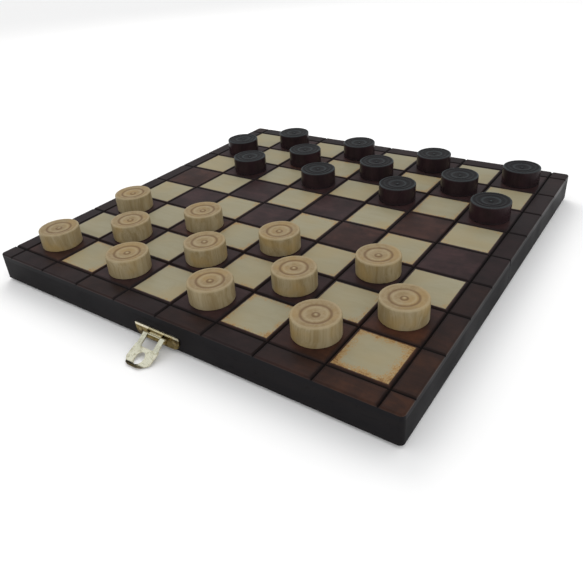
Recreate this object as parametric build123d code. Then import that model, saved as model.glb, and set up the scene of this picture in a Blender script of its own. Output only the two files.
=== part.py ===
from build123d import *
import math
import os

# Folding checkers set: two shallow wooden half boxes hinged under the middle of the playing
# surface, a brass hasp latch on the front edge, and twelve light and twelve dark turned men.
# X runs along the fold, Y from the light player's edge to the dark player's, and Z is up.
# Everything is drawn with the fold line on Y = 0 and is centred on its footprint at the end.

# Playing surface
SQUARES = 8
SQUARE = 33.0
MARGIN = 12.0
GROOVE_WIDTH = 2.2
GROOVE_DEPTH = 1.2

# Half box
HALF_HEIGHT = 18.0
PANEL_THICKNESS = 4.0
RAIL_WIDTH = 8.0
FINGERS = 3
CORNER_RADIUS = 2.5
TOP_EASE = 1.0
FOLD_EASE = 0.6
FOLD_GAP = 0.3

# Butt hinges, let into the rims either side of the fold
HINGE_OFFSET = 82.5
HINGE_LENGTH = 30.0
LEAF_DEPTH = 6.8
LEAF_THICKNESS = 0.9
KNUCKLE_RADIUS = 2.0
KNUCKLES = 3
KNUCKLE_GAP = 0.3
HINGE_PIN_RADIUS = 1.0
PIN_HEAD_HEIGHT = 0.4
PIN_HEAD_RADIUS = 1.4
AXIS_DROP = 0.1
NOTCH_CLEARANCE = 0.4
RECESS_CLEARANCE = 0.1
PIN_CLEARANCE = 0.06

# Countersunk nails of the hinges
HINGE_NAIL_SPACING = 18.0
HINGE_NAIL_INSET = 4.7
SUNK_HEAD_RADIUS = 1.2
SUNK_HEAD_DEPTH = 0.6
NAIL_RADIUS = 0.6
NAIL_LENGTH = 5.5
NAIL_POINT = 1.2
NAIL_CLEARANCE = 0.05

# Round headed nails of the latch
ROUND_HEAD_RADIUS = 1.4
ROUND_HEAD_HEIGHT = 0.7

# Latch plate on the front edge
LATCH_PLATE_WIDTH = 33.0
LATCH_PLATE_HEIGHT = 8.7
LATCH_PLATE_LIFT = 0.2
LATCH_PLATE_CORNER = 6.0
LATCH_NAIL_OFFSET = 12.8
PLATE_THICKNESS = 0.9
EYE_RADIUS = 1.5
EYE_GAP = 0.3
EYE_HEIGHT = 5.0
BARREL_WIDTH = 8.8
LATCH_PIN_RADIUS = 0.75
LATCH_PIN_HEAD_RADIUS = 1.2

# Swinging hasp
HASP_THICKNESS = 0.8
HASP_ARMS_WIDTH = 16.0
HASP_BODY_WIDTH = 17.4
HASP_ARM_LENGTH = 7.0
HASP_BEND_RADIUS = 6.0
HASP_FLARE = 10.0
HASP_FLARE_LENGTH = 7.6
HASP_LIP_RADIUS = 4.5
HASP_LIP_TURN = 55.0
HASP_END_RADIUS = 10.4
HASP_SHOULDER = 6.4
HASP_SHOULDER_RADIUS = 0.6
WINDOW_LENGTH = 7.2
WINDOW_CORNER = 0.8
FINGER_HOLE_WIDTH = 6.2
FINGER_HOLE_LENGTH = 7.6
FINGER_HOLE_REACH = 13.6
HASP_OPEN_LIMIT = 160.0
SURFACE_CLEARANCE = 0.3

# Catch on the rear edge
CATCH_PLATE_WIDTH = 23.0
CATCH_PLATE_HEIGHT = 11.0
CATCH_PLATE_CORNER = 3.0
CATCH_NAIL_OFFSET = 8.6
STUD_NECK_RADIUS = 1.7
STUD_HEAD_RADIUS = 2.3
STUD_LENGTH = 4.4
STUD_HEAD_LENGTH = 1.6
STUD_HEAD_EASE = 0.5

# Turned men
MAN_RADIUS = 13.0
MAN_HEIGHT = 12.0
MAN_FOOT_EASE = 0.6
MAN_RIM_EASE = 0.9
MAN_GROOVE_RADII = (10.6, 7.4)
MAN_GROOVE_DEPTH = 0.5
MAN_RIDGE_RUN = 0.8
MAN_RIDGE_DROP = 0.2
MAN_PIT_RADIUS = 2.1
MAN_PIT_DEPTH = 1.1
MAN_NUB_DROP = 0.5
MAN_SEAT_GAP = 0.05
MEN_ROWS = 3

# Where single men stand off the middle of their square, by column and row
SET_OFF_CENTRE = {
    (7, 1): (1.0, 1.3),
    (8, 2): (-1.0, 2.0),
    (7, 3): (1.3, 1.6),
    (1, 1): (-2.0, 1.6),
    (3, 3): (1.8, 1.0),
    (8, 8): (1.0, -0.3),
}

BOARD_WIDTH = SQUARES * SQUARE + 2 * MARGIN
HALF_DEPTH = SQUARES / 2 * SQUARE + MARGIN
RAIL_HEIGHT = HALF_HEIGHT - PANEL_THICKNESS
AXIS_Z = KNUCKLE_RADIUS
RIM_Z = AXIS_Z + AXIS_DROP
SEAM_Z = RIM_Z + RAIL_HEIGHT
TOP_Z = RIM_Z + HALF_HEIGHT
EDGE_Y = FOLD_GAP / 2 + HALF_DEPTH
FRONT = -1
REAR = 1
KNUCKLE_LENGTH = (HINGE_LENGTH - (KNUCKLES - 1) * KNUCKLE_GAP) / KNUCKLES
EYE_OUT = PLATE_THICKNESS + EYE_GAP + EYE_RADIUS
EYE_Y = -EDGE_Y - EYE_OUT
EYE_Z = RIM_Z + EYE_HEIGHT
STUD_Z = 2 * AXIS_Z - (EYE_Z - FINGER_HOLE_REACH)
HASP_CUT = 4 * EYE_RADIUS + FINGER_HOLE_REACH / 2


def block(x_span, y_span, z_span):
    """A box between two values along each axis."""
    spans = (x_span, y_span, z_span)
    sizes = [abs(high - low) for low, high in spans]
    middle = [(low + high) / 2 for low, high in spans]
    return Pos(*middle) * Box(*sizes)


def rod(x_span, y, z, radius):
    """A round bar along X."""
    low, high = x_span
    bar = Cylinder(radius, high - low, rotation=(0, 90, 0))
    return Pos((low + high) / 2, y, z) * bar


def half_span(side, near, far):
    """The Y span of one half, from distances behind its fold face."""
    return (side * (FOLD_GAP / 2 + near), side * (FOLD_GAP / 2 + far))


def half_outline(side, z_span):
    """The outside of one half, with its two outer corners rounded."""
    body = block((-BOARD_WIDTH / 2, BOARD_WIDTH / 2), half_span(side, 0, HALF_DEPTH), z_span)
    uprights = body.edges().filter_by(Axis.Z).sort_by(Axis.Y)
    outer = uprights[:2] if side == FRONT else uprights[-2:]
    return fillet(outer, CORNER_RADIUS)


def groove(length):
    """A burnt V groove along Y, as the wedge that it takes away."""
    tip = (0, -GROOVE_DEPTH)
    wedge = make_face(Polyline((-GROOVE_WIDTH / 2, 0), (GROOVE_WIDTH / 2, 0), tip, close=True))
    return extrude(Plane.XZ * wedge, length / 2, both=True)


def playing_panel(side):
    """One half of the playing surface, with its grid of grooves run out to the edges."""
    panel = half_outline(side, (SEAM_Z, TOP_Z))
    top_edges = panel.faces().sort_by(Axis.Z)[-1].edges()
    by_fold = sorted(top_edges, key=lambda edge: abs(edge.center().Y))
    panel = fillet(by_fold[1:], TOP_EASE)
    fold_edges = panel.edges().filter_by(Axis.X).group_by(Axis.Z)[-1]
    panel = chamfer(min(fold_edges, key=lambda edge: abs(edge.center().Y)), FOLD_EASE)
    line_along_y = groove(2 * HALF_DEPTH + SQUARE)
    line_along_x = Rot(Z=90) * groove(BOARD_WIDTH + SQUARE)
    for column in range(SQUARES + 1):
        panel -= Pos((column - SQUARES / 2) * SQUARE, side * HALF_DEPTH / 2, TOP_Z) * line_along_y
    for row in range(1, SQUARES // 2 + 1):
        panel -= Pos(0, side * row * SQUARE, TOP_Z) * line_along_x
    return panel


def finger_span(index):
    """The height of one finger of a corner joint."""
    pitch = RAIL_HEIGHT / FINGERS
    return (RIM_Z + index * pitch, RIM_Z + (index + 1) * pitch)


def corner_fingers(side, x_side, near, far, indices):
    """Fingers in the corner where two rails cross, as blocks."""
    x_span = (x_side * (BOARD_WIDTH / 2 - RAIL_WIDTH), x_side * BOARD_WIDTH / 2)
    y_span = half_span(side, near, far)
    return [block(x_span, y_span, finger_span(index)) for index in indices]


def long_rail(side, near):
    """A rail along X that keeps the even fingers at both its ends."""
    x_span = (-BOARD_WIDTH / 2, BOARD_WIDTH / 2)
    rail = block(x_span, half_span(side, near, near + RAIL_WIDTH), (RIM_Z, SEAM_Z))
    for x_side in (-1, 1):
        for finger in corner_fingers(side, x_side, near, near + RAIL_WIDTH, range(1, FINGERS, 2)):
            rail -= finger
    return rail & half_outline(side, (RIM_Z, SEAM_Z))


def side_rail(side, x_side):
    """A rail along Y that keeps the odd fingers at both its ends."""
    x_span = (x_side * (BOARD_WIDTH / 2 - RAIL_WIDTH), x_side * BOARD_WIDTH / 2)
    rail = block(x_span, half_span(side, 0, HALF_DEPTH), (RIM_Z, SEAM_Z))
    for near in (0, HALF_DEPTH - RAIL_WIDTH):
        for finger in corner_fingers(side, x_side, near, near + RAIL_WIDTH, range(0, FINGERS, 2)):
            rail -= finger
    return rail & half_outline(side, (RIM_Z, SEAM_Z))


def outer_rail(side, nail_places):
    """The rail under the outer edge, drilled for the nails of its plate."""
    rail = long_rail(side, HALF_DEPTH - RAIL_WIDTH)
    for place in nail_places:
        rail -= place * round_nail(NAIL_CLEARANCE)
    return rail


def hinge_places():
    """The middle of each hinge on the fold line."""
    return {"left": -HINGE_OFFSET, "right": HINGE_OFFSET}


def centre_rail(side):
    """The rail beside the fold, notched for the knuckles and let in for the leaves."""
    rail = long_rail(side, 0)
    half = HINGE_LENGTH / 2
    notch = half + PIN_CLEARANCE + PIN_HEAD_HEIGHT + NOTCH_CLEARANCE
    for x in hinge_places().values():
        rail -= rod((x - notch, x + notch), 0, AXIS_Z, KNUCKLE_RADIUS + NOTCH_CLEARANCE)
        leaf_span = (x - half - RECESS_CLEARANCE, x + half + RECESS_CLEARANCE)
        depth_span = (0, side * (LEAF_DEPTH + RECESS_CLEARANCE))
        rail -= block(leaf_span, depth_span, (0, RIM_Z + LEAF_THICKNESS))
        for place in hinge_nail_places(side, x):
            rail -= place * sunk_nail(NAIL_CLEARANCE)
    return rail


def sunk_nail(clearance=0.0):
    """A nail that points up, with a flat countersunk head on Z = 0."""
    shank = NAIL_RADIUS + clearance
    head = SUNK_HEAD_RADIUS + clearance
    length = NAIL_LENGTH + clearance
    outline = Polyline(
        (0, 0), (head, 0), (shank, SUNK_HEAD_DEPTH), (shank, length - NAIL_POINT), (0, length), close=True
    )
    return revolve(Plane.XZ * make_face(outline), Axis.Z)


def round_nail(clearance=0.0):
    """A nail that points along -Z from a plate's face on Z = 0, with a domed head above it."""
    shank = NAIL_RADIUS + clearance
    point = -NAIL_LENGTH - clearance
    crown = (0, ROUND_HEAD_HEIGHT)
    edge = (ROUND_HEAD_RADIUS, 0)
    stem = Polyline(crown, (0, point), (shank, point + NAIL_POINT), (shank, 0), edge)
    dome = RadiusArc(edge, crown, -dome_radius())
    return revolve(Plane.XZ * make_face(stem + dome), Axis.Z)


def dome_radius():
    """The sphere that a round head is a cap of."""
    return (ROUND_HEAD_RADIUS**2 + ROUND_HEAD_HEIGHT**2) / (2 * ROUND_HEAD_HEIGHT)


def hinge_nail_places(side, x):
    """The two nails of one leaf, near its ends."""
    y = side * HINGE_NAIL_INSET
    return [Pos(x + end * HINGE_NAIL_SPACING / 2, y, RIM_Z) for end in (-1, 1)]


def plate_nail_places(side, offset, z):
    """The two nails of a plate on an outer edge, heads on the plate's face."""
    face_y = side * (EDGE_Y + PLATE_THICKNESS)
    outwards = Rot(X=90) if side == FRONT else Rot(X=-90)
    return [Pos(x, face_y, z) * outwards for x in (-offset, offset)]


def knuckle_span(x, index):
    """The X span of one knuckle of the hinge at x."""
    start = x - HINGE_LENGTH / 2 + index * (KNUCKLE_LENGTH + KNUCKLE_GAP)
    return (start, start + KNUCKLE_LENGTH)


def hinge_leaf(side, x):
    """A leaf flush with the rim, rolled into every other knuckle round the pin."""
    half = HINGE_LENGTH / 2
    leaf = block((x - half, x + half), (0, side * LEAF_DEPTH), (RIM_Z, RIM_Z + LEAF_THICKNESS))
    first = 0 if side == FRONT else 1
    for index in range(1 - first, KNUCKLES, 2):
        low, high = knuckle_span(x, index)
        room = (low - KNUCKLE_GAP, high + KNUCKLE_GAP)
        leaf -= rod(room, 0, AXIS_Z, KNUCKLE_RADIUS + KNUCKLE_GAP)
    for index in range(first, KNUCKLES, 2):
        leaf += rod(knuckle_span(x, index), 0, AXIS_Z, KNUCKLE_RADIUS)
    bore = rod((x - HINGE_LENGTH, x + HINGE_LENGTH), 0, AXIS_Z, HINGE_PIN_RADIUS + PIN_CLEARANCE)
    leaf -= bore
    for place in hinge_nail_places(side, x):
        leaf -= place * sunk_nail(NAIL_CLEARANCE)
    return leaf


def headed_pin(x, y, z, length, radius, head_radius):
    """A pin along X with a peened head outside each end of what it holds."""
    reach = length / 2 + PIN_CLEARANCE
    pin = rod((x - reach, x + reach), y, z, radius)
    for end in (-1, 1):
        inner = x + end * reach
        outer = inner + end * PIN_HEAD_HEIGHT
        pin += rod((min(inner, outer), max(inner, outer)), y, z, head_radius)
    return pin


def nails(places, nail):
    """Every nail of one kind in one body."""
    return Compound(children=[place * nail for place in places])


def edge_plate(side, outline):
    """A sheet brass plate that lies on an outer edge."""
    sheet = extrude(Plane.XZ * outline, -side * PLATE_THICKNESS)
    return Pos(0, side * EDGE_Y, 0) * sheet


def latch_plate():
    """The plate on the front edge, round at its low corners, with a tongue rolled round the pin."""
    low_z = RIM_Z + LATCH_PLATE_LIFT
    outline = Pos(0, low_z + LATCH_PLATE_HEIGHT / 2) * Rectangle(LATCH_PLATE_WIDTH, LATCH_PLATE_HEIGHT)
    low_corners = outline.vertices().sort_by(Axis.Y)[:2]
    plate = edge_plate(FRONT, fillet(low_corners, LATCH_PLATE_CORNER))
    half = BARREL_WIDTH / 2
    plate += rod((-half, half), EYE_Y, EYE_Z, EYE_RADIUS)
    tongue = (EYE_Z + EYE_RADIUS - PLATE_THICKNESS, EYE_Z + EYE_RADIUS)
    plate += block((-half, half), (EYE_Y, -EDGE_Y), tongue)
    plate -= rod((-BARREL_WIDTH, BARREL_WIDTH), EYE_Y, EYE_Z, LATCH_PIN_RADIUS + PIN_CLEARANCE)
    for place in latch_nail_places():
        plate -= place * round_nail(NAIL_CLEARANCE)
    return plate


def latch_nail_places():
    """The nails of the latch plate."""
    return plate_nail_places(FRONT, LATCH_NAIL_OFFSET, EYE_Z)


def catch_nail_places():
    """The nails of the catch plate."""
    return plate_nail_places(REAR, CATCH_NAIL_OFFSET, STUD_Z)


def hasp_path():
    """The middle of the hasp's sheet, seen along X, hanging from an eye on the origin."""
    offset = EYE_RADIUS - HASP_THICKNESS / 2
    arm = Line((-offset, 0), (-offset, -HASP_ARM_LENGTH))
    bend = JernArc(arm @ 1, arm % 1, HASP_BEND_RADIUS, -HASP_FLARE)
    heading = bend % 1
    flare = Line(bend @ 1, bend @ 1 + heading * HASP_FLARE_LENGTH)
    lip = JernArc(flare @ 1, heading, HASP_LIP_RADIUS, -HASP_LIP_TURN)
    return arm, bend, flare, lip


def hasp_rest_angle():
    """How far the hasp stands out from hanging when its lip rests on the surface."""
    flare = hasp_path()[2]
    end = flare @ 1
    heading = flare % 1
    centre = (end.X + HASP_LIP_RADIUS * heading.Y, end.Y - HASP_LIP_RADIUS * heading.X)
    reach = math.hypot(*centre)
    lean = math.atan2(-centre[0], -centre[1])
    drop = EYE_Z - SURFACE_CLEARANCE - HASP_LIP_RADIUS - HASP_THICKNESS / 2
    return math.degrees(math.acos(drop / reach) - lean)


def hanging_hasp():
    """The hasp as it hangs, with its eyes on the origin: arms, window, finger hole and lip."""
    path = hasp_path()
    profile = Sketch() + [trace(piece, HASP_THICKNESS) for piece in path]
    sheet = extrude(Plane.YZ * profile, HASP_BODY_WIDTH / 2, both=True)
    length = -(path[3] @ 1).Y + HASP_THICKNESS
    arms = Pos(0, -HASP_SHOULDER / 2) * Rectangle(HASP_ARMS_WIDTH, HASP_SHOULDER + HASP_THICKNESS)
    body = Rectangle(HASP_BODY_WIDTH, length - HASP_SHOULDER)
    body = fillet(body.vertices().sort_by(Axis.Y)[2:], HASP_SHOULDER_RADIUS)
    body = Pos(0, -(length + HASP_SHOULDER) / 2) * body
    body &= Pos(0, HASP_END_RADIUS - length) * Circle(HASP_END_RADIUS)
    outline = arms + body
    hasp = sheet & extrude(Plane.XZ * outline, HASP_CUT, both=True)
    half = HASP_ARMS_WIDTH / 2
    hasp += rod((-half, half), 0, 0, EYE_RADIUS)
    hasp -= rod((-2 * half, 2 * half), 0, 0, LATCH_PIN_RADIUS + PIN_CLEARANCE)
    window_width = BARREL_WIDTH + 2 * EYE_GAP
    window_height = WINDOW_LENGTH + 2 * EYE_RADIUS
    window = RectangleRounded(window_width, window_height, WINDOW_CORNER)
    window = Pos(0, window_height / 2 - WINDOW_LENGTH) * window
    hasp -= extrude(Plane.XZ * window, HASP_CUT, both=True)
    hole = Pos(0, -FINGER_HOLE_REACH) * Ellipse(FINGER_HOLE_WIDTH / 2, FINGER_HOLE_LENGTH / 2)
    return hasp - extrude(Plane.XZ * hole, HASP_CUT, both=True)


def latch_hasp():
    """The hasp swung out until its lip rests on the surface that the board lies on."""
    return Pos(0, EYE_Y, EYE_Z) * Rot(X=-hasp_rest_angle()) * hanging_hasp()


def headed_stud():
    """The catch's turned stud, standing on Z = 0: a neck under a head with eased edges."""
    neck = STUD_LENGTH - STUD_HEAD_LENGTH
    outline = Polyline(
        (0, 0),
        (STUD_NECK_RADIUS, 0),
        (STUD_NECK_RADIUS, neck),
        (STUD_HEAD_RADIUS, neck + STUD_HEAD_EASE),
        (STUD_HEAD_RADIUS, STUD_LENGTH - STUD_HEAD_EASE),
        (STUD_HEAD_RADIUS - STUD_HEAD_EASE, STUD_LENGTH),
        (0, STUD_LENGTH),
        close=True,
    )
    return revolve(Plane.XZ * make_face(outline), Axis.Z)


def catch_plate():
    """The plate on the rear edge with the headed stud that the hasp's hole snaps over."""
    outline = RectangleRounded(CATCH_PLATE_WIDTH, CATCH_PLATE_HEIGHT, CATCH_PLATE_CORNER)
    plate = edge_plate(REAR, Pos(0, STUD_Z) * outline)
    plate += Pos(0, EDGE_Y + PLATE_THICKNESS, STUD_Z) * Rot(X=-90) * headed_stud()
    for place in catch_nail_places():
        plate -= place * round_nail(NAIL_CLEARANCE)
    return plate


def man_face():
    """The turned face from the rim inwards: it falls to a groove, climbs to a ridge, and so on."""
    points = [(MAN_RADIUS - MAN_RIM_EASE, MAN_HEIGHT)]
    ridge = MAN_HEIGHT
    for radius in MAN_GROOVE_RADII:
        points.append((radius, ridge - MAN_GROOVE_DEPTH))
        ridge -= MAN_RIDGE_DROP
        points.append((radius - MAN_RIDGE_RUN, ridge))
    points.append((MAN_PIT_RADIUS, MAN_HEIGHT - MAN_PIT_DEPTH))
    points.append((0, MAN_HEIGHT - MAN_NUB_DROP))
    return points


def man():
    """A turned man standing on Z = 0: eased foot and rim, ringed face, and a nub in its pit."""
    side = [
        (0, 0),
        (MAN_RADIUS - MAN_FOOT_EASE, 0),
        (MAN_RADIUS, MAN_FOOT_EASE),
        (MAN_RADIUS, MAN_HEIGHT - MAN_RIM_EASE),
    ]
    outline = Polyline(*side, *man_face(), close=True)
    return revolve(Plane.XZ * make_face(outline), Axis.Z)


def men_squares(first_row):
    """The dark squares of three rows, from the left."""
    squares = []
    for row in range(first_row, first_row + MEN_ROWS):
        for column in range(1, SQUARES + 1):
            if (row + column) % 2 == 0:
                squares.append((column, row))
    return squares


def man_place(column, row):
    """Where the man of a square stands."""
    off_x, off_y = SET_OFF_CENTRE.get((column, row), (0.0, 0.0))
    x = (column - SQUARES / 2 - 0.5) * SQUARE + off_x
    y = (row - SQUARES / 2 - 0.5) * SQUARE + off_y
    return Pos(x, y, TOP_Z + MAN_SEAT_GAP)


def build_half(side, name, plate_places):
    """The wooden pieces of one half, by name."""
    return {
        f"{name}_playing_panel": playing_panel(side),
        f"{name}_outer_rail": outer_rail(side, plate_places),
        f"{name}_centre_rail": centre_rail(side),
        f"{name}_left_rail": side_rail(side, -1),
        f"{name}_right_rail": side_rail(side, 1),
    }


def build_hinges():
    """Both butt hinges: leaves, pins and nails, by name."""
    pieces = {}
    for end, x in hinge_places().items():
        pieces[f"{end}_hinge_front_leaf"] = hinge_leaf(FRONT, x)
        pieces[f"{end}_hinge_rear_leaf"] = hinge_leaf(REAR, x)
        pin = headed_pin(x, 0, AXIS_Z, HINGE_LENGTH, HINGE_PIN_RADIUS, PIN_HEAD_RADIUS)
        pieces[f"{end}_hinge_pin"] = pin
    for side, name in ((FRONT, "front"), (REAR, "rear")):
        places = [place for x in hinge_places().values() for place in hinge_nail_places(side, x)]
        pieces[f"{name}_hinge_nails"] = nails(places, sunk_nail())
    return pieces


def build_latch():
    """The latch: plate, pin, hasp, catch and their nails, by name."""
    pin = headed_pin(0, EYE_Y, EYE_Z, HASP_ARMS_WIDTH, LATCH_PIN_RADIUS, LATCH_PIN_HEAD_RADIUS)
    return {
        "latch_plate": latch_plate(),
        "latch_pin": pin,
        "latch_hasp": latch_hasp(),
        "latch_plate_nails": nails(latch_nail_places(), round_nail()),
        "catch_plate": catch_plate(),
        "catch_plate_nails": nails(catch_nail_places(), round_nail()),
    }


def build_men():
    """The light men on the near rows and the dark men on the far rows, by name."""
    turned = man()
    pieces = {}
    for colour, first_row in (("light", 1), ("dark", SQUARES + 1 - MEN_ROWS)):
        for number, square in enumerate(men_squares(first_row), start=1):
            pieces[f"{colour}_checker_{number:02d}"] = man_place(*square) * turned
    return pieces


def centred(pieces):
    """Move every piece so that the footprint's middle is on the origin."""
    boxes = [piece.bounding_box() for piece in pieces.values()]
    low = min(box.min.Y for box in boxes)
    high = max(box.max.Y for box in boxes)
    shift = -(low + high) / 2
    print(f"fold axis y {shift:.4f} z {AXIS_Z:.4f}")
    rest = hasp_rest_angle()
    print(f"hasp axis y {EYE_Y + shift:.4f} z {EYE_Z:.4f}, hangs {rest:.3f} degrees back")
    print(f"hasp opens {HASP_OPEN_LIMIT - rest:.3f} degrees")
    return {name: Pos(0, shift, 0) * piece for name, piece in pieces.items()}


def main():
    """Build every piece and write it to its own file."""
    os.makedirs("parts", exist_ok=True)
    pieces = {}
    pieces.update(build_half(FRONT, "front", latch_nail_places()))
    pieces.update(build_half(REAR, "rear", catch_nail_places()))
    pieces.update(build_hinges())
    pieces.update(build_latch())
    pieces.update(build_men())
    for name, piece in centred(pieces).items():
        export_step(piece, f"parts/{name}.step")


main()
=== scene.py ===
import logging
import math
from dataclasses import dataclass, field
from enum import Enum
from typing import Sequence, Union

import bpy
import numpy as np
from mathutils import Matrix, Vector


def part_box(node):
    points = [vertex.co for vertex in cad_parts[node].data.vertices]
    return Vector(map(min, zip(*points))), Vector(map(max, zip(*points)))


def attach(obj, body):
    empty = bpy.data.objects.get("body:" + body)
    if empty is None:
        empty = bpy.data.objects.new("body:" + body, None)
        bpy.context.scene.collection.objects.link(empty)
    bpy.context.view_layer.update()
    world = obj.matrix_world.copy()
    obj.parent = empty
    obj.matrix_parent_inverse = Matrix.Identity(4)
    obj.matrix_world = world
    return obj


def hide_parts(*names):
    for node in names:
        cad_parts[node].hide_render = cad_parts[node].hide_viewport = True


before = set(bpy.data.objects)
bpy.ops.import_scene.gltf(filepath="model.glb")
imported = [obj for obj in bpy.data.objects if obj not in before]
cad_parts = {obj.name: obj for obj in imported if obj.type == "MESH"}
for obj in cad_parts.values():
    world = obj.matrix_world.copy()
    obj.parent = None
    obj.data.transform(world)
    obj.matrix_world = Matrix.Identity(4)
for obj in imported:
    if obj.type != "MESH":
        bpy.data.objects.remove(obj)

log = logging.getLogger("checkers_set")

# The board's driving sizes, in metres.
MM = 0.001
SQUARE = 33.0 * MM
SQUARES = 8
RAIL_WIDTH = 8.0 * MM
GROOVE_WIDTH = 2.2 * MM
SQUARE_INSET = 1.9 * MM

# The same widths in squares, which is what the playing surface is drawn in.
HALF_LINE = GROOVE_WIDTH / SQUARE / 2
INSET = SQUARE_INSET / SQUARE

Socket = bpy.types.NodeSocket
Sockets = bpy.types.bpy_prop_collection
Value = Union[float, Socket]
Colour = tuple[float, float, float, float]

WHITE: Colour = (1.0, 1.0, 1.0, 1.0)


def paint(red: int, green: int, blue: int) -> Colour:
    """A display colour as the linear colour that shaders work in, by the sRGB curve.

    A channel up to 0.04045 is divided by 12.92, and a lighter one is ((c + 0.055) / 1.055) ** 2.4.

    Args:
        red: its red, 0 to 255.
        green: its green, 0 to 255.
        blue: its blue, 0 to 255.

    Returns:
        The linear colour, opaque.
    """
    channels = np.array([red, green, blue]) / 255.0
    linear = np.where(channels <= 0.04045, channels / 12.92, ((channels + 0.055) / 1.055) ** 2.4)
    return (float(linear[0]), float(linear[1]), float(linear[2]), 1.0)


def dimmed(colour: Colour, share: float) -> Colour:
    """A colour with a share of its light."""
    return (share * colour[0], share * colour[1], share * colour[2], 1.0)


class Axis(Enum):
    """The direction that the grain of a piece of wood runs, as what its coordinates are stretched by."""

    X = (1.0, 14.0, 14.0)
    Y = (14.0, 1.0, 14.0)


@dataclass(frozen=True)
class Step:
    """A smooth step: start up to low, end from high on, and an even S between them."""

    low: float
    high: float
    start: Value = 0.0
    end: Value = 1.0


@dataclass(frozen=True)
class Noise:
    """A noise field: features to a unit, octaves, the weight of the fine ones, and its distortion."""

    scale: float
    detail: float = 3.0
    rough: float = 0.55
    warp: float = 0.0


@dataclass(frozen=True)
class Relief:
    """How far a finish stands out: the metres that a height of 1 is worth, and the share that shows."""

    depth: float
    strength: float


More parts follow.
